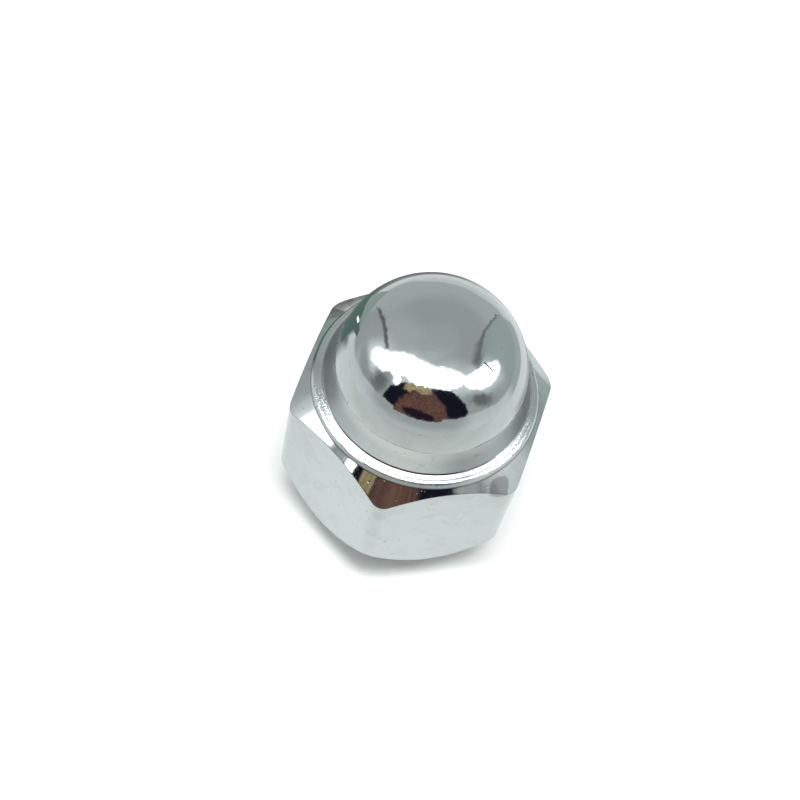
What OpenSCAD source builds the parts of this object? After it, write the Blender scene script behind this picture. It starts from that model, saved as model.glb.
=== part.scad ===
// Closed-end lug nut: a hexagon body on a 60 degree conical seat, a turned
// ring on top, and a round dome that closes the threaded hole.
// Millimetres. +Z runs along the thread axis towards the dome. The origin is
// the centre of the small end of the seat, the face the nut stands on, and two
// corners of the hexagon lie on the X axis.

/* [Hexagon] */
// Width across two opposite flats (wrench size)
hex_af = 19; // [18.6:0.1:20]
// Turned diameter across the hexagon's corners
corner_d = 21.5; // [20.9:0.1:21.9]
// Slope of the chamfer above the flats, in degrees from level
top_chamfer_angle = 45; // [25:1:50]
// Radius at which the chamfer runs into the collar
collar_foot_r = 9.1; // [9.05:0.01:9.2]

/* [Seat] */
// Diameter of the flat small end of the conical seat
seat_end_d = 15.2; // [14.5:0.1:17]
// Included angle of the conical seat, in degrees
seat_angle = 60; // [60:1:90]
// Bevel around the rim of the seat's small end
seat_rim = 0.25; // [0.1:0.05:0.4]

/* [Ring] */
// Height at which the dome's foot meets the turned ring
ring_top_z = 16.82; // [16.5:0.02:18]
// Slope of the ring's inner bevel, in degrees from level
inner_bevel = 33; // [25:1:45]
// Slope of the ring's outer bevel, in degrees from level
outer_bevel = 39; // [25:1:50]
// Diameter of the fine groove between the two bevels
groove_d = 17.34; // [17.2:0.02:17.5]
// Depth of that groove
groove_depth = 0.05; // [0.02:0.01:0.08]
// Outer diameter of the ring's bevels
ring_d = 17.84; // [17.8:0.02:18]
// Height of the short flared wall under the ring
collar_h = 0.36; // [0.2:0.02:0.6]

/* [Dome] */
// Diameter of the dome
dome_d = 15.2; // [14.8:0.1:15.6]
// Height of the flared foot between the ring and the round top
flare_h = 1.68; // [1.2:0.02:2.5]
// Diameter of the flared foot where it meets the ring
flare_d = 16.56; // [16.2:0.02:16.8]

/* [Thread] */
// Major diameter of the internal thread
thread_d = 12; // [10:1:12]
// Pitch of the internal thread
thread_pitch = 1.5; // [1:0.25:1.5]
// Depth of the hole's full-width part, from the seat's small end
hole_depth = 19.5; // [16:0.1:20]
// Angle of the drill point at the blind end
drill_point_angle = 118; // [118:1:140]
// Diameter of the countersink at the hole's mouth
mouth_d = 13; // [12.4:0.1:13.4]

/* [Hidden] */
$fn = 96;
corner_r = corner_d / 2;
seat_r = seat_end_d / 2;
seat_slope = 1 / tan(seat_angle / 2);
seat_top_z = seat_rim + (corner_r - seat_r) * seat_slope;
flare_r = flare_d / 2;
groove_r = groove_d / 2;
ring_r = ring_d / 2;
groove_z = ring_top_z - (groove_r - flare_r) * tan(inner_bevel);
ring_edge_z = groove_z - (ring_r - groove_r) * tan(outer_bevel);
collar_foot_z = ring_edge_z - collar_h;
corner_top_z = collar_foot_z - (corner_r - collar_foot_r) * tan(top_chamfer_angle);
groove_half = groove_depth;
dome_r = dome_d / 2;
dome_z = ring_top_z + flare_h;
minor_r = (thread_d - 1.0825 * thread_pitch) / 2;
mouth_r = mouth_d / 2;

// Half section of the turned form, from the seat up to the dome's equator
module body_section() {
    polygon([
        [0, 0],
        [seat_r - seat_rim, 0],
        [seat_r, seat_rim],
        [corner_r, seat_top_z],
        [corner_r, corner_top_z],
        [collar_foot_r, collar_foot_z],
        [ring_r, ring_edge_z],
        [groove_r + groove_half, groove_z - groove_half * tan(outer_bevel)],
        [groove_r, groove_z - groove_depth],
        [groove_r - groove_half, groove_z + groove_half * tan(inner_bevel)],
        [flare_r, ring_top_z],
        [dome_r, dome_z],
        [0, dome_z]
    ]);
}

// Quarter round that closes the top
module dome_section() {
    intersection() {
        circle(r = dome_r);
        square(dome_r + 1);
    }
}

// The form as it leaves the lathe, before the flats are cut
module turned_blank() {
    rotate_extrude() {
        body_section();
        translate([0, dome_z])
            dome_section();
    }
}

// Hexagonal bar with two corners on the X axis
module hexagon_bar() {
    translate([0, 0, -1])
        cylinder(h = dome_z + dome_r + 2, r = hex_af / 2 / cos(30), $fn = 6);
}

// Blind tapping hole at the thread's minor diameter, with its mouth
// countersunk and a drill point at its end
module tapped_hole() {
    translate([0, 0, -1])
        cylinder(h = hole_depth + 1, r = minor_r);
    translate([0, 0, hole_depth])
        cylinder(h = minor_r / tan(drill_point_angle / 2), r1 = minor_r, r2 = 0);
    translate([0, 0, -0.5])
        cylinder(h = mouth_r - minor_r + 0.5, r1 = mouth_r + 0.5, r2 = minor_r);
}

// The whole nut is one piece of metal
module lug_nut() {
    color([0.80, 0.83, 0.82])
        difference() {
            intersection() {
                turned_blank();
                hexagon_bar();
            }
            tapped_hole();
        }
}

lug_nut();
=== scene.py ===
import math

import bpy
import numpy as np
from mathutils import Matrix, Vector


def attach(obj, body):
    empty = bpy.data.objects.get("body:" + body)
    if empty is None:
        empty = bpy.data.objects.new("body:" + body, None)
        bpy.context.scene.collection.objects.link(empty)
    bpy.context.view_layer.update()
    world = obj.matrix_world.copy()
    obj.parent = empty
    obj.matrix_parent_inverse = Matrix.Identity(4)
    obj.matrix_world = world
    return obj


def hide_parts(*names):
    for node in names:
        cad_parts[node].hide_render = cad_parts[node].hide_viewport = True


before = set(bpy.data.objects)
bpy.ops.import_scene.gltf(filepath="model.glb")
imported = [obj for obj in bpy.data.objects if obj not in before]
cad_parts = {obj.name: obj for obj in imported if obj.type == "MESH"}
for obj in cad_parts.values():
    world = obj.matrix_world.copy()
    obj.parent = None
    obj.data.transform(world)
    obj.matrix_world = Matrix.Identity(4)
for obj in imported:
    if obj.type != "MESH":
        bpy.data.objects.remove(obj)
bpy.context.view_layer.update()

MM = 0.001

# ----------------------------------------------------------------- camera
# The photograph was taken from 58.5 degrees above level, 126 mm from the
# ledge's centre, with the camera rolled so that the nut leans 17.3 degrees
# to the right.
CAMERA_AZ = math.radians(-116.534)
CAMERA_EL = math.radians(58.513)
CAMERA_ROLL = math.radians(17.298)
CAMERA_DIST = 126.0
FOCAL_PX = 1604.945
AIM_PX = (27.773, -20.506)
LEDGE_Z = 17.0
FLOOR_END = 0.056


def make_camera():
    back = np.array([
        math.cos(CAMERA_EL) * math.cos(CAMERA_AZ),
        math.cos(CAMERA_EL) * math.sin(CAMERA_AZ),
        math.sin(CAMERA_EL),
    ])
    level = np.array([-math.sin(CAMERA_AZ), math.cos(CAMERA_AZ), 0.0])
    rise = np.cross(back, level)
    turn = -CAMERA_ROLL
    right = math.cos(turn) * level - math.sin(turn) * rise
    up = math.sin(turn) * level + math.cos(turn) * rise
    ahead = -back - right * AIM_PX[0] / FOCAL_PX + up * AIM_PX[1] / FOCAL_PX
    ahead /= np.linalg.norm(ahead)
    right -= ahead * (right @ ahead)
    right /= np.linalg.norm(right)
    up = np.cross(right, ahead)
    place = np.array([0.0, 0.0, LEDGE_Z]) + back * CAMERA_DIST
    data = bpy.data.cameras.new("camera")
    data.sensor_width = 36.0
    data.lens = 36.0 * FOCAL_PX / 800.0
    data.clip_start, data.clip_end = 0.004, 20.0
    cam = bpy.data.objects.new("camera", data)
    bpy.context.scene.collection.objects.link(cam)
    m = Matrix.Identity(4)
    for i in range(3):
        m[i][0], m[i][1], m[i][2] = right[i], up[i], -ahead[i]
        m[i][3] = place[i] * MM
    cam.matrix_world = m
    bpy.context.scene.camera = cam


# --------------------------------------------------------------- the shape
AF_R = 9.5             # half the width across flats
TIP_R = 10.75          # turned radius across the corners
CORNER_ROUND = (AF_R / math.cos(math.radians(30)) - TIP_R) / (
    1 / math.cos(math.radians(30)) - 1)
SEAT_R, SEAT_RIM = 7.6, 0.25
MOUTH_R = 6.5
FOOT_R, FOOT_Z = 9.1, 16.0
CHAMFER = math.tan(math.radians(45))
RING_IN = (8.28, 16.82)
GROOVE_R, GROOVE_Z = 8.67, 16.567
RING_OUT = (8.92, 16.365)
GROOVE_DEEP, GROOVE_HALF = 0.030, 0.055
FOOT_LEAN = math.tan(math.radians(24))
DOME_R, DOME_Z = 7.6, 18.5
PITCH, MAJOR_R = 1.5, 6.0
MINOR_R = (12 - 1.0825 * PITCH) / 2
FADE = (18.0, 18.9)
HOLE_Z = 19.5
TIP_Z = HOLE_Z + MINOR_R / math.tan(math.radians(59))


def hex_radius(theta):
    """Radius of the hexagon with rounded corners, one corner at angle 0."""
    a = abs((theta + math.pi / 6) % (math.pi / 3) - math.pi / 6)
    c = math.cos(math.radians(30))
    centre = (AF_R - CORNER_ROUND) / c
    touch = math.atan2(CORNER_ROUND * 0.5, centre + CORNER_ROUND * c)
    if a < touch:
        return centre * math.cos(a) + math.sqrt(
            CORNER_ROUND ** 2 - (centre * math.sin(a)) ** 2)
    return AF_R / math.cos(math.pi / 6 - a)


def column_angles():
    c = math.cos(math.radians(30))
    centre = (AF_R - CORNER_ROUND) / c
    touch = math.atan2(CORNER_ROUND * 0.5, centre + CORNER_ROUND * c)
    arc = [touch * math.sin(math.pi / 2 * k / 6) for k in range(-6, 7)]
    arc = [-touch - 0.004] + arc + [touch + 0.004]
    start = arc[-1]
    end = math.pi / 3 - arc[-1]
    flat = [start + (end - start) * k / 34 for k in range(1, 34)]
    sector = arc + flat
    return np.array([s * math.pi / 3 + a for s in range(6) for a in sector])


def fillet_path(corners):
    """corners: (r, z, blend radius, arc steps). Returns the blended polyline,
    with a holding point just outside each blend."""
    pts = []
    n = len(corners)
    for i, (r, z, blend, steps) in enumerate(corners):
        p = np.array([r, z])
        if i in (0, n - 1) or blend == 0:
            pts.append(p)
            continue
        a = np.array(corners[i - 1][:2]) - p
        b = np.array(corners[i + 1][:2]) - p
        la, lb = np.linalg.norm(a), np.linalg.norm(b)
        a, b = a / la, b / lb
        half = math.acos(max(-1.0, min(1.0, a @ b))) / 2
        run = blend / math.tan(half)
        run = min(run, 0.46 * la, 0.46 * lb)
        rad = run * math.tan(half)
        mid = (a + b) / np.linalg.norm(a + b)
        centre = p + mid * rad / math.sin(half)
        s = p + a * run - centre
        e = p + b * run - centre
        sweep = math.pi - 2 * half
        hold = min(0.35 * rad, 0.03)
        pts.append(p + a * (run + hold))
        for k in range(steps + 1):
            t = k / steps
            v = (math.sin((1 - t) * sweep) * s + math.sin(t * sweep) * e
                 ) / math.sin(sweep)
            pts.append(centre + v)
        pts.append(p + b * (run + hold))
    return np.array(pts)


def outer_path(theta):
    """(r, z) points up the outside of the nut at one angle."""
    rh = hex_radius(theta)
    seat_z = SEAT_RIM + (rh - SEAT_R) * math.sqrt(3)
    top_z = FOOT_Z - (rh - FOOT_R) * CHAMFER
    path = fillet_path([
        (MOUTH_R, 0.0, 0, 0),
        (SEAT_R - SEAT_RIM, 0.0, 0.12, 3),
        (SEAT_R, SEAT_RIM, 0.12, 3),
        (rh, seat_z, 0.28, 6),
        (rh, top_z, 0.13, 5),
        (FOOT_R, FOOT_Z, 0.16, 4),
        (RING_OUT[0], RING_OUT[1], 0.30, 6),
        (GROOVE_R + GROOVE_HALF,
         GROOVE_Z - GROOVE_HALF * math.tan(math.radians(39)), 0, 0),
    ])
    groove = []
    for t in (0.15, 0.3, 0.5, 0.7, 0.85, 1.0):
        x = GROOVE_HALF * (1 - 2 * t)
        slope = 39 if x > 0 else 33
        groove.append((GROOVE_R + x, GROOVE_Z - x * math.tan(math.radians(slope))
                       - GROOVE_DEEP * 0.5 * (1 - math.cos(2 * math.pi * t))))
    above = (RING_IN[0] - 0.5 * FOOT_LEAN, RING_IN[1] + 0.5)
    foot = fillet_path([
        (GROOVE_R - GROOVE_HALF - 0.02,
         GROOVE_Z + (GROOVE_HALF + 0.02) * math.tan(math.radians(33)), 0, 0),
        (RING_IN[0], RING_IN[1], 0.34, 7),
        (above[0], above[1], 0, 0),
    ])
    wall = []
    for k in range(1, 41):
        z = above[1] + 0.05 * k
        wall.append((wall_radius(z), z))
    lowest = math.asin((wall[-1][1] - DOME_Z) / DOME_R)
    dome = [
        (DOME_R * math.cos(lowest + (math.pi / 2 - lowest) * k / 56),
         DOME_Z + DOME_R * math.sin(lowest + (math.pi / 2 - lowest) * k / 56))
        for k in range(1, 56)
    ]
    return np.vstack([path, groove, foot, wall, dome])


def wall_radius(z):
    """The flared foot easing into the dome."""
    a = RING_IN[0] - (z - RING_IN[1]) * FOOT_LEAN
    b = math.sqrt(DOME_R ** 2 - max(0.0, z - DOME_Z) ** 2)
    near = max(0.28 - abs(a - b), 0.0) / 0.28
    return max(a, b) + near * near * 0.07


def thread_radius(theta, z):
    u = (z / PITCH - theta / (2 * math.pi)) % 1.0
    u = min(u, 1 - u)
    t = min(1.0, max(0.0, (u - 1 / 16) / 0.3125))
    r = MAJOR_R + (MINOR_R - MAJOR_R) * t
    w = min(1.0, max(0.0, (z - FADE[0]) / (FADE[1] - FADE[0])))
    return r + (MINOR_R - r) * w


class Shell:
    """Vertices and faces, joined where the points are the same."""

    def __init__(self):
        self.points, self.faces, self.known = [], [], {}

    def point(self, x, y, z):
        key = (round(x, 5), round(y, 5), round(z, 5))
        if key not in self.known:
            self.known[key] = len(self.points)
            self.points.append((x * MM, y * MM, z * MM))
        return self.known[key]

    def face(self, *ids):
        clean = [v for i, v in enumerate(ids) if v != ids[i - 1]]
        if len(set(clean)) >= 3 and len(set(clean)) == len(clean):
            self.faces.append(tuple(clean))


def nut_shell():
    s = Shell()
    angles = column_angles()
    n = len(angles)
    # outside
    paths = [outer_path(a) for a in angles]
    rows = len(paths[0])
    grid = [[s.point(p[k][0] * math.cos(a), p[k][0] * math.sin(a), p[k][1])
             for k in range(rows)] for a, p in zip(angles, paths)]
    pole = s.point(0, 0, DOME_Z + DOME_R)
    for i in range(n):
        j = (i + 1) % n
        for k in range(rows - 1):
            s.face(grid[i][k], grid[j][k], grid[j][k + 1], grid[i][k + 1])
        s.face(grid[i][-1], grid[j][-1], pole)
    # mouth, down to where the thread can start
    mouth = [[s.point((MOUTH_R - z) * math.cos(a), (MOUTH_R - z) * math.sin(a), z)
              for z in (0.0, 0.25, 0.5)] for a in angles]
    for i in range(n):
        j = (i + 1) % n
        for k in range(2):
            s.face(mouth[j][k], mouth[i][k], mouth[i][k + 1], mouth[j][k + 1])
    # thread: rows follow the helix, and are held between the two ends
    steps = [0.0, 0.0625, 0.14, 0.22, 0.3, 0.375, 0.44,
             0.56, 0.625, 0.7, 0.78, 0.86, 0.9375]
    m = len(steps)
    turns = int(math.ceil((FADE[1] - 0.5) / PITCH)) + 2
    first = -1

    def thread_point(a, lift, row):
        z = (first + row // m + steps[row % m] + lift) * PITCH
        z = min(FADE[1], max(0.5, z))
        r = max(thread_radius(a, z), MOUTH_R - z)
        return s.point(r * math.cos(a), r * math.sin(a), z)

    total = turns * m
    helix = [[thread_point(a, a / (2 * math.pi), k) for k in range(total)]
             for a in angles]
    helix.append([thread_point(angles[0], 1.0 + angles[0] / (2 * math.pi), k)
                  for k in range(total)])
    for i in range(n):
        for k in range(total - 1):
            s.face(helix[i + 1][k], helix[i][k],
                   helix[i][k + 1], helix[i + 1][k + 1])
    # plain bore and drill point
    end = [(MINOR_R, FADE[1]), (MINOR_R, HOLE_Z - 0.02), (MINOR_R - 0.02, HOLE_Z)]
    end += [(MINOR_R * (1 - t), HOLE_Z + (TIP_Z - HOLE_Z) * t)
            for t in (0.12, 0.3, 0.5, 0.7, 0.88)]
    bore = [[s.point(r * math.cos(a), r * math.sin(a), z) for r, z in end]
            for a in angles]
    tip = s.point(0, 0, TIP_Z)
    for i in range(n):
        j = (i + 1) % n
        for k in range(len(end) - 1):
            s.face(bore[j][k], bore[i][k], bore[i][k + 1], bore[j][k + 1])
        s.face(bore[j][-1], bore[i][-1], tip)
    return s


def make_nut():
    s = nut_shell()
    mesh = bpy.data.meshes.new("lug_nut_skin")
    mesh.from_pydata(s.points, [], s.faces)
    mesh.validate()
    mesh.update()
    mesh.shade_smooth()
    obj = bpy.data.objects.new("lug_nut_skin", mesh)
    bpy.context.scene.collection.objects.link(obj)
    obj.data.materials.append(chrome_material())
    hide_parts("lug_nut")
    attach(obj, "root")
    return obj


# ------------------------------------------------------------ node helpers
class Calc:
    """Short names for arithmetic nodes."""

    def __init__(self, tree):
        self.tree = tree

    def node(self, kind, **props):
        n = self.tree.nodes.new(kind)
        for k, v in props.items():
            setattr(n, k, v)
        return n

    def put(self, socket, value):
        if isinstance(value, (int, float, tuple, list)):
            socket.default_value = value
        else:
            self.tree.links.new(value, socket)

    def math(self, op, a, b=None, c=None):
        n = self.node("ShaderNodeMath", operation=op)
        for i, v in enumerate((a, b, c)):
            if v is not None:
                self.put(n.inputs[i], v)
        return n.outputs[0]

    def add(self, a, b):
        return self.math("ADD", a, b)

    def sub(self, a, b):
        return self.math("SUBTRACT", a, b)

    def mul(self, a, b):
        return self.math("MULTIPLY", a, b)

    def most(self, a, b):
        return self.math("MAXIMUM", a, b)

    def least(self, a, b):
        return self.math("MINIMUM", a, b)

    def step(self, x, a, b, low=0.0, high=1.0):
        """low where x is at a, high where it is at b, smooth between."""
        n = self.node("ShaderNodeMapRange", interpolation_type="SMOOTHSTEP")
        self.put(n.inputs["Value"], x)
        self.put(n.inputs["From Min"], a)
        self.put(n.inputs["From Max"], b)
        self.put(n.inputs["To Min"], low)
        self.put(n.inputs["To Max"], high)
        return n.outputs[0]

    def mix(self, f, a, b):
        n = self.node("ShaderNodeMix", data_type="RGBA")
        self.put(n.inputs[0], f)
        for i, v in ((6, a), (7, b)):
            if isinstance(v, tuple) and len(v) == 3:
                v = (*v, 1.0)
            self.put(n.inputs[i], v)
        return n.outputs[2]

    def noise(self, vec, scale, detail=2.0, rough=0.5):
        n = self.node("ShaderNodeTexNoise")
        self.put(n.inputs["Vector"], vec)
        n.inputs["Scale"].default_value = scale
        n.inputs["Detail"].default_value = detail
        n.inputs["Roughness"].default_value = rough
        return n.outputs["Fac"]


def srgb(r, g, b, over=1.0):
    def lin(v):
        v /= 255.0
        return v / 12.92 if v <= 0.04045 else ((v + 0.055) / 1.055) ** 2.4
    return (lin(r) / over, lin(g) / over, lin(b) / over)


CHROME = (0.530, 0.562, 0.556)


def studio_point(ahead, right, z=0.0):
    """A point given in mm towards the camera and to its right."""
    ca, sa = math.cos(CAMERA_AZ), math.sin(CAMERA_AZ)
    return ((ahead * ca - right * sa) * MM, (ahead * sa + right * ca) * MM,
            z * MM)


# ---------------------------------------------------------- chrome plating
def chrome_material():
    mat = bpy.data.materials.new("chrome")
    mat.use_nodes = True
    t = mat.node_tree
    c = Calc(t)
    bsdf = t.nodes["Principled BSDF"]
    bsdf.inputs["Metallic"].default_value = 1.0
    obj = c.node("ShaderNodeTexCoord").outputs["Object"]
    scaled = c.node("ShaderNodeVectorMath", operation="SCALE")
    t.links.new(obj, scaled.inputs[0])
    scaled.inputs["Scale"].default_value = 1000.0
    mm = scaled.outputs[0]
    sep = c.node("ShaderNodeSeparateXYZ")
    t.links.new(mm, sep.inputs[0])
    x, y, z = sep.outputs
    rad = c.math("SQRT", c.add(c.mul(x, x), c.mul(y, y)))

    # where things are: the bevelled ring, and the turned foot above it
    ring = c.mul(c.mul(c.step(rad, 8.24, 8.30), c.step(rad, 9.00, 8.92)),
                 c.mul(c.step(z, 16.3, 16.36), c.step(z, 16.9, 16.84)))
    foot = c.mul(c.mul(c.step(z, 16.88, 16.96), c.step(z, 19.02, 18.86)),
                 c.step(rad, 7.50, 7.55))

    # plating haze, handling marks and specks
    cloud = c.noise(mm, 0.55, 5.0, 0.65)
    fine = c.noise(mm, 6.0, 3.0, 0.6)
    speck = c.mul(c.step(c.noise(mm, 2.6, 1.0), 0.68, 0.75),
                  c.step(c.noise(mm, 0.6, 1.0), 0.44, 0.56))
    speck = c.mul(speck, c.step(z, 21.5, 19.5, 0.25, 1.0))
    stain = c.mul(c.step(c.noise(mm, 0.55, 4.0, 0.6), 0.48, 0.72),
                  c.step(z, 21.5, 18.5))
    smear = c.step(cloud, 0.42, 0.7)
    tone = c.mix(c.mul(smear, 0.5), CHROME, (0.505, 0.540, 0.532))
    tone = c.mix(c.mul(stain, 0.6), tone, (0.455, 0.465, 0.430))
    tone = c.mix(c.mul(speck, 0.7), tone, (0.33, 0.34, 0.32))
    # painted shade and light on the turned foot: its colour is painted darker as
    # shade, and painted lighter on the side towards the camera, where it faces the
    # lamps
    facing = c.math("DIVIDE", c.add(c.mul(x, math.cos(CAMERA_AZ)),
                                    c.mul(y, math.sin(CAMERA_AZ))), rad)
    lamp_side_light = c.mul(c.step(facing, 0.45, 0.8), c.step(z, 17.7, 18.5))
    turned = c.mix(lamp_side_light, (0.258, 0.280, 0.275), (0.335, 0.350, 0.338))
    foot_shade = c.mul(foot, c.step(z, 19.0, 18.4, 0.80, 1.0))
    tone = c.mix(c.mul(foot_shade, c.step(fine, 0.2, 0.5, 0.8, 1.0)), tone, turned)
    # short grime dashes that follow the lathe marks
    wrap = c.node("ShaderNodeCombineXYZ")
    t.links.new(c.mul(c.math("ARCTAN2", y, x), 8.0), wrap.inputs[0])
    t.links.new(c.mul(z, 3.2), wrap.inputs[1])
    dash = c.mul(c.step(c.noise(wrap.outputs[0], 0.9, 1.0), 0.66, 0.74),
                 c.mul(c.step(z, 18.7, 18.3), c.step(z, 16.95, 17.2)))
    tone = c.mix(c.mul(dash, 0.55), tone, (0.15, 0.165, 0.155))
    # painted shade in the crease inside the ring and in the corner where the
    # chamfer meets the ring
    crease_shade = c.mul(c.step(c.math("ABSOLUTE", c.sub(rad, 8.29)), 0.09, 0.03),
                   c.step(z, 16.70, 16.74))
    crease_shade = c.most(crease_shade, c.mul(
        c.step(c.math("ABSOLUTE", c.sub(rad, 9.10)), 0.07, 0.02),
        c.step(z, 15.8, 15.9)))
    tone = c.mix(c.mul(crease_shade, c.step(fine, 0.25, 0.6, 0.25, 0.6)), tone,
                 (0.17, 0.17, 0.165))
    # painted dark reflection on the chamfer's back left corner
    dark_reflection_spot = c.node("ShaderNodeVectorMath", operation="DISTANCE")
    t.links.new(mm, dark_reflection_spot.inputs[0])
    dark_reflection_spot.inputs[1].default_value = [v / MM for v in studio_point(-5.3, -9.0, 15.0)]
    far = c.add(dark_reflection_spot.outputs["Value"], c.mul(c.noise(mm, 1.3, 3.0), 2.4))
    tone = c.mix(c.mul(c.step(far, 3.3, 2.0), 0.85), tone, (0.15, 0.12, 0.115))
    # painted grey reflection on the chamfer's front right corner
    grey_reflection_spot = c.node("ShaderNodeVectorMath", operation="DISTANCE")
    t.links.new(mm, grey_reflection_spot.inputs[0])
    grey_reflection_spot.inputs[1].default_value = [
        v / MM for v in studio_point(6.3, 7.8, 15.1)]
    out = c.add(grey_reflection_spot.outputs["Value"], c.mul(c.noise(mm, 1.6, 2.0), 0.6))
    tone = c.mix(c.mul(c.step(out, 1.35, 1.10), 0.9), tone,
                 (0.300, 0.308, 0.302))
    # a short scratch on the dome
    start = c.node("ShaderNodeVectorMath", operation="SUBTRACT")
    t.links.new(mm, start.inputs[0])
    first = [v / MM for v in studio_point(1.98, 3.61, 24.89)]
    last = [v / MM for v in studio_point(2.1, 4.37, 24.36)]
    start.inputs[1].default_value = first
    along = c.node("ShaderNodeVectorMath", operation="DOT_PRODUCT")
    t.links.new(start.outputs[0], along.inputs[0])
    span = Vector(last) - Vector(first)
    along.inputs[1].default_value = span / span.length_squared
    part = c.least(c.most(along.outputs["Value"], 0.0), 1.0)
    line = c.node("ShaderNodeVectorMath", operation="SCALE")
    line.inputs[0].default_value = span
    t.links.new(part, line.inputs["Scale"])
    off = c.node("ShaderNodeVectorMath", operation="DISTANCE")
    t.links.new(start.outputs[0], off.inputs[0])
    t.links.new(line.outputs[0], off.inputs[1])
    scratch = c.step(c.add(off.outputs["Value"], c.mul(fine, 0.05)), 0.12, 0.06)
    tone = c.mix(scratch, tone, (0.010, 0.010, 0.012))
    t.links.new(tone, bsdf.inputs["Base Color"])
    rough = c.add(c.add(0.035, c.mul(smear, 0.03)), c.mul(fine, 0.03))
    rough = c.add(rough, c.add(c.mul(ring, 0.09), c.mul(scratch, 0.4)))
    rough = c.add(rough, c.mul(foot, 0.42))
    # sharper on the crown, which would otherwise pick up the overhead window
    rough = c.mul(rough, c.step(z, 25.3, 25.65, 1.0, 0.35))
    t.links.new(rough, bsdf.inputs["Roughness"])
    # the foot keeps the round marks of the lathe
    t.links.new(c.mul(foot, 0.95), bsdf.inputs["Anisotropic"])
    around = c.node("ShaderNodeTangent", direction_type="RADIAL", axis="Z")
    t.links.new(around.outputs[0], bsdf.inputs["Tangent"])
    bsdf.inputs["Anisotropic Rotation"].default_value = 0.25

    # surface height in millimetres
    wave = c.mul(c.noise(mm, 0.33, 1.0), 0.020)
    peel = c.mul(c.noise(mm, 2.2, 2.0), 0.0018)
    rings = c.math("SINE", c.mul(rad, 2 * math.pi / 0.11))
    chop = c.noise(mm, 3.5, 2.0)
    turned = c.mul(c.mul(c.mul(rings, chop), 0.005), ring)
    flank = c.step(facing, 0.72, 0.42, 0.004, 0.034)
    glint = c.mul(c.mul(c.noise(mm, 8.0, 1.0), flank), ring)
    pits = c.mul(speck, -0.004)
    height = c.add(c.add(wave, peel), c.add(c.add(turned, glint), pits))
    bump = c.node("ShaderNodeBump")
    bump.inputs["Strength"].default_value = 1.0
    bump.inputs["Distance"].default_value = MM
    t.links.new(height, bump.inputs["Height"])
    t.links.new(bump.outputs["Normal"], bsdf.inputs["Normal"])
    return mat


# ------------------------------------------------------------------ stage
def make_floor():
    mesh = bpy.data.meshes.new("floor")
    r, z = 1.5, -0.00001
    mesh.from_pydata([(-r, -r, z), (r, -r, z), (r, r, z), (-r, r, z)], [],
                     [(0, 1, 2, 3)])
    obj = bpy.data.objects.new("floor", mesh)
    bpy.context.scene.collection.objects.link(obj)
    mat = bpy.data.materials.new("floor")
    mat.use_nodes = True
    t = mat.node_tree
    c = Calc(t)
    bsdf = t.nodes["Principled BSDF"]
    bsdf.inputs["Roughness"].default_value = 1.0
    bsdf.inputs["Specular IOR Level"].default_value = 0.0
    pos = c.node("ShaderNodeTexCoord").outputs["Object"]
    grain = c.noise(pos, 900.0, 3.0)
    sheet = c.mix(grain, (0.80, 0.82, 0.815), (0.82, 0.84, 0.835))
    # the tent's floor, as the plating sees it, is painted darker away from the
    # nut, most of all towards the front, with a painted shadow of the nut behind
    # it, and ends where the tent's wall begins
    sep = c.node("ShaderNodeSeparateXYZ")
    t.links.new(pos, sep.inputs[0])
    away = c.math("SQRT", c.add(c.mul(sep.outputs[0], sep.outputs[0]),
                                c.mul(sep.outputs[1], sep.outputs[1])))
    ahead = c.add(c.mul(sep.outputs[0], math.cos(CAMERA_AZ)),
                  c.mul(sep.outputs[1], math.sin(CAMERA_AZ)))
    dim = c.mix(c.step(away, 0.013, 0.028), (0.680, 0.708, 0.710),
                (0.600, 0.630, 0.626))
    dim = c.mix(c.mul(c.step(ahead, 0.008, 0.022), 0.45), dim,
                (0.450, 0.461, 0.442))
    dim = c.mix(c.step(ahead, 0.024, 0.074), dim, (0.400, 0.405, 0.392))
    # painted shadow of the nut on the floor just behind it
    dim = c.mix(c.mul(c.step(ahead, -0.004, -0.011),
                      c.step(away, 0.034, 0.019)), dim, (0.24, 0.25, 0.25))
    # a deeper painted shadow behind the nut, to its left
    right = c.add(c.mul(sep.outputs[0], -math.sin(CAMERA_AZ)),
                  c.mul(sep.outputs[1], math.cos(CAMERA_AZ)))
    dim = c.mix(c.mul(c.mul(c.step(ahead, -0.006, -0.014),
                            c.step(right, 0.014, -0.004)),
                      c.step(away, 0.056, 0.040)), dim, (0.15, 0.155, 0.15))
    glossy = c.node("ShaderNodeLightPath").outputs["Is Glossy Ray"]
    t.links.new(c.mix(glossy, sheet, dim), bsdf.inputs["Base Color"])
    clear = c.node("ShaderNodeBsdfTransparent")
    pick = c.node("ShaderNodeMixShader")
    t.links.new(c.mul(glossy, c.math("GREATER_THAN", away, FLOOR_END)),
                pick.inputs[0])
    t.links.new(bsdf.outputs[0], pick.inputs[1])
    t.links.new(clear.outputs[0], pick.inputs[2])
    t.links.new(pick.outputs[0], t.nodes["Material Output"].inputs["Surface"])
    obj.data.materials.append(mat)


def make_card(name, outline, faces, colour, lift, glow=0.0):
    """A flat card behind the nut, seen only in the plating."""
    mesh = bpy.data.meshes.new(name)
    mesh.from_pydata([studio_point(x, y, lift) for x, y in outline], [], faces)
    obj = bpy.data.objects.new(name, mesh)
    bpy.context.scene.collection.objects.link(obj)
    mat = bpy.data.materials.new(name)
    mat.use_nodes = True
    bsdf = mat.node_tree.nodes["Principled BSDF"]
    bsdf.inputs["Base Color"].default_value = (*colour, 1)
    bsdf.inputs["Roughness"].default_value = 1.0
    bsdf.inputs["Specular IOR Level"].default_value = 0.0
    bsdf.inputs["Emission Color"].default_value = (1, 1, 1, 1)
    bsdf.inputs["Emission Strength"].default_value = glow
    obj.data.materials.append(mat)
    obj.visible_camera = False
    obj.visible_diffuse = False
    obj.visible_shadow = False


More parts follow.
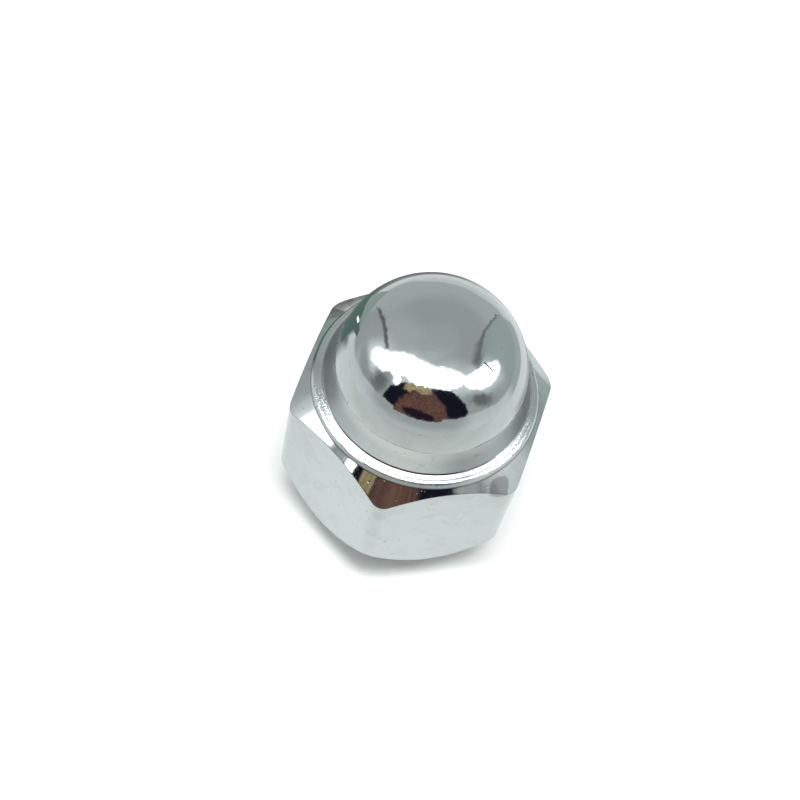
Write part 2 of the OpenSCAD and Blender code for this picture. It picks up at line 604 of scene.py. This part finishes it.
def make_world():
    world = bpy.data.worlds.new("studio")
    bpy.context.scene.world = world
    world.use_nodes = True
    t = world.node_tree
    c = Calc(t)
    bg = t.nodes["Background"]
    gen = c.node("ShaderNodeTexCoord").outputs["Generated"]
    sep = c.node("ShaderNodeSeparateXYZ")
    t.links.new(gen, sep.inputs[0])
    x, y, z = sep.outputs
    ca, sa = math.cos(CAMERA_AZ), math.sin(CAMERA_AZ)
    fx = c.add(c.mul(x, ca), c.mul(y, sa))
    fy = c.add(c.mul(x, -sa), c.mul(y, ca))
    az = c.mul(c.math("ARCTAN2", fy, fx), 180 / math.pi)
    el = c.mul(c.math("ARCSINE", z), 180 / math.pi)
    aaz = c.math("ABSOLUTE", az)

    def tone(r, g, b):
        return tuple(v / k for v, k in zip(srgb(r, g, b), CHROME))

    def grey(level):
        """Radiance that the plating shows at this 8-bit level."""
        n = c.node("ShaderNodeVectorMath", operation="SCALE")
        n.inputs[0].default_value = (1.77, 1.86, 1.875)
        t.links.new(c.math("POWER", c.mul(level, 1 / 255), 2.2),
                    n.inputs["Scale"])
        return n.outputs[0]

    def lerp(f, a, b):
        if isinstance(a, (int, float)) and isinstance(b, (int, float)):
            return c.add(a, c.mul(f, b - a))
        return c.add(a, c.mul(f, c.sub(b, a)))

    def blob(cx, cy, a, b, turn, soft=0.25):
        """1 inside a turned ellipse in (az, el), 0 outside."""
        k, s = math.cos(math.radians(turn)), math.sin(math.radians(turn))
        dx, dy = c.sub(az, cx), c.sub(el, cy)
        u = c.mul(c.add(c.mul(dx, k), c.mul(dy, s)), 1 / a)
        v = c.mul(c.sub(c.mul(dy, k), c.mul(dx, s)), 1 / b)
        d = c.math("SQRT", c.add(c.mul(u, u), c.mul(v, v)))
        return c.step(d, 1 + soft, 1 - soft)

    def arch(centre, half, base, rise, power, soft):
        """1 below a superellipse arch standing on base, 0 above."""
        u = c.math("ABSOLUTE", c.mul(c.sub(az, centre), 1 / half))
        v = c.most(c.mul(c.sub(el, base), 1 / rise), 0.0)
        d = c.add(c.math("POWER", u, power), c.math("POWER", v, power))
        d = c.math("POWER", d, 1 / power)
        return c.step(d, 1 + soft, 1 - soft)

    # the tent's edges are crumpled
    true_az, true_el = az, el
    crumple = c.sub(c.noise(gen, 9.0, 3.0, 0.6), 0.5)
    other = c.node("ShaderNodeVectorMath", operation="ADD")
    t.links.new(gen, other.inputs[0])
    other.inputs[1].default_value = (3.1, 1.7, 4.3)
    ripple = c.sub(c.noise(other.outputs[0], 9.0, 3.0, 0.6), 0.5)

    # walls and ceiling of the tent, as levels
    back = c.step(aaz, 105, 140)
    side = lerp(c.step(az, -30, 60), 156, 144)
    high = lerp(back, side, 145)
    low = lerp(back, lerp(c.step(az, -30, 60), 150, 146), 157)
    level = lerp(c.step(el, 12, 38), low, high)
    level = lerp(c.step(el, 58, 76), level, 150)
    halo = c.mul(c.mul(c.step(c.math("ABSOLUTE", c.sub(az, 4)), 88, 30),
                       c.step(el, 74, 57)), c.step(el, 20, 34))
    level = lerp(halo, level, 190)
    level = lerp(c.mul(blob(-73, 19, 30, 17, 30, 0.85), 0.8), level, 222)
    level = lerp(c.mul(blob(86, 24, 33, 16, -25, 0.85), 0.8), level, 220)
    # shaded cloth beside the opening
    level = lerp(c.mul(blob(-76, -1, 20, 7, -8, 0.5), 0.8), level, 132)
    level = lerp(c.mul(blob(83, 1, 14, 7, -10, 0.6), 0.6), level, 142)
    az = c.add(true_az, c.mul(crumple, 16.0))
    el = c.add(true_el, c.mul(ripple, 13.0))
    level = lerp(blob(-52, 10, 9, 13, -12, 0.7), level, 100)
    level = lerp(blob(69, 9, 15, 6, -42, 0.7), level, 98)
    az = c.add(true_az, c.mul(crumple, 5.0))
    el = c.add(true_el, c.mul(ripple, 5.0))
    # seams
    seam = c.sub(31, c.mul(31, c.math("POWER", c.most(
        c.mul(c.sub(-75, az), 1 / 51), 0.0), 3.0)))
    below = c.mul(c.step(c.sub(seam, el), 0, 3),
                  c.mul(c.step(az, -128, -122), c.step(az, -84, -100)))
    level = lerp(c.mul(below, 0.7), level, 138)
    line = c.mul(c.step(c.math("ABSOLUTE", c.sub(el, seam)), 3.6, 0.6),
                 c.mul(c.step(az, -129, -124), c.step(az, -70, -84)))
    level = lerp(c.mul(line, 0.95), level, 84)
    seam = c.sub(43, c.mul(51, c.math("POWER", c.most(
        c.mul(c.sub(az, 80), 1 / 73), 0.0), 5.0)))
    below = c.mul(c.step(c.sub(seam, el), 0, 3),
                  c.mul(c.step(az, 96, 112), c.step(az, 153, 150)))
    wide = lerp(c.step(az, 112, 134), 10.0, 4.0)
    line = c.mul(c.step(c.math("ABSOLUTE", c.sub(el, seam)), wide, 0.6),
                 c.mul(c.step(az, 78, 92), c.step(el, -8, -2)))
    level = lerp(c.mul(line, 0.95), level, 100)
    # floor beyond the sheet under the nut
    edge = c.sub(c.sub(-2.0, c.mul(c.step(az, -45, -105), 12.0)),
                 c.mul(c.step(az, 55, 100), 10.0))
    edge = lerp(c.step(aaz, 154, 168), edge, -4.0)
    deep = c.step(el, -8, -20)
    ground = lerp(c.step(aaz, 34, 66), lerp(deep, 148, 171),
                  lerp(deep, 178, 187))
    level = lerp(c.step(c.sub(el, edge), 1.2, -1.2), level, ground)
    chart = grey(level)
    chart = c.mix(c.mul(below, 0.8), chart, tone(134, 149, 147))
    # lamps: a broad panel over the opening and a wing on each side
    az = c.add(true_az, c.mul(crumple, 7.0))
    el = c.add(true_el, c.mul(ripple, 7.0))
    lower = lerp(c.step(az, -44, -34), 27, 37)
    lamp = c.mul(arch(-3, 63, 30, 31, 2.6, 0.15),
                 c.step(c.sub(el, lower), -1.5, 1.5))
    lamp = c.most(lamp, blob(-66, 26, 17, 8.5, 36, 0.42))
    lamp = c.most(lamp, blob(82, 27, 23.5, 9, -25, 0.34))
    lamp = c.most(lamp, blob(-37, 27, 4.5, 4, 0, 0.3))
    lamp = c.mul(lamp, c.sub(1.0, c.mul(blob(50, 33, 5, 4.5, 0, 0.5), 0.9)))
    chart = c.mix(lamp, chart, (7.8, 8.1, 8.1))
    # the dark opening
    az = c.add(true_az, c.mul(crumple, 11.0))
    el = c.add(true_el, c.mul(ripple, 11.0))
    gap = c.mul(arch(6, 46, 0, 38.5, 2.6, 0.025),
                c.step(c.add(el, c.mul(c.step(aaz, 30, 22), 2.5)), -1.2, 0.4))
    chart = c.mix(gap, chart, tone(20, 20, 31))
    warm = c.mul(arch(3, 29, -8, 42, 2.0, 0.06), gap)
    brown = c.mix(c.step(c.noise(gen, 22.0, 3.0), 0.35, 0.65),
                  tone(78, 57, 53), tone(100, 74, 66))
    chart = c.mix(warm, chart, brown)
    rise = c.mul(c.step(az, -18, -9), 5.5)
    pale = c.mul(c.mul(c.step(az, -27, -24), c.step(az, 12, 9)),
                 c.mul(c.step(c.sub(el, rise), 24, 26), gap))
    straw = c.mix(c.step(c.noise(gen, 26.0, 3.0), 0.35, 0.65),
                  tone(118, 104, 76), tone(168, 158, 122))
    chart = c.mix(pale, chart, straw)
    dim = c.mul(blob(2, 1.5, 18, 6.5, -8, 0.15), gap)
    chart = c.mix(dim, chart, tone(32, 22, 34))
    az, el = true_az, true_el

    # soft light for everything that isn't a mirror
    wings = c.mul(c.step(aaz, 62, 84), c.step(aaz, 130, 112))
    soft = c.add(c.add(0.05, c.mul(wings, 1.5)),
                 c.mul(c.step(aaz, 112, 130), 0.40))
    over = c.add(0.6, c.mul(c.step(aaz, 108, 78), 21.0))
    soft = lerp(c.step(el, 68, 77), soft, over)

    path = c.node("ShaderNodeLightPath")
    light = c.mix(path.outputs["Is Glossy Ray"], soft, chart)
    light = c.mix(path.outputs["Is Camera Ray"], light, (1.0, 1.0, 1.0))
    t.links.new(light, bg.inputs["Color"])
    bg.inputs["Strength"].default_value = 1.0


# ------------------------------------------------------------------- build
bpy.context.scene.view_settings.view_transform = "Standard"
bpy.context.scene.view_settings.look = "None"
make_camera()
make_nut()
make_floor()
make_card("card_pale",
          [(-14, -14), (-22, -18), (-95, -70), (-90, -115), (-40, -115),
           (-15, -40)], [(0, 1, 2, 3, 4, 5)], (0.26, 0.31, 0.29), 0.10)
make_card("card_dark",
          [(-12, 1), (-15.5, -1.5), (-28, -15), (-38, -50), (-24, -58),
           (-11, -27), (-13.5, -18), (-17, -9), (-41, -115), (-27, -115)],
          [(0, 1, 2, 7), (2, 3, 4, 5), (7, 2, 5, 6), (3, 8, 9, 4)],
          (0.085, 0.135, 0.118), 0.20)
make_card("card_glint", [(-28.5, -41), (-27.2, -42), (-32.5, -66),
                         (-36, -68)], [(0, 1, 2, 3)], (0.8, 0.8, 0.8),
          0.30, 1.6)
make_world()
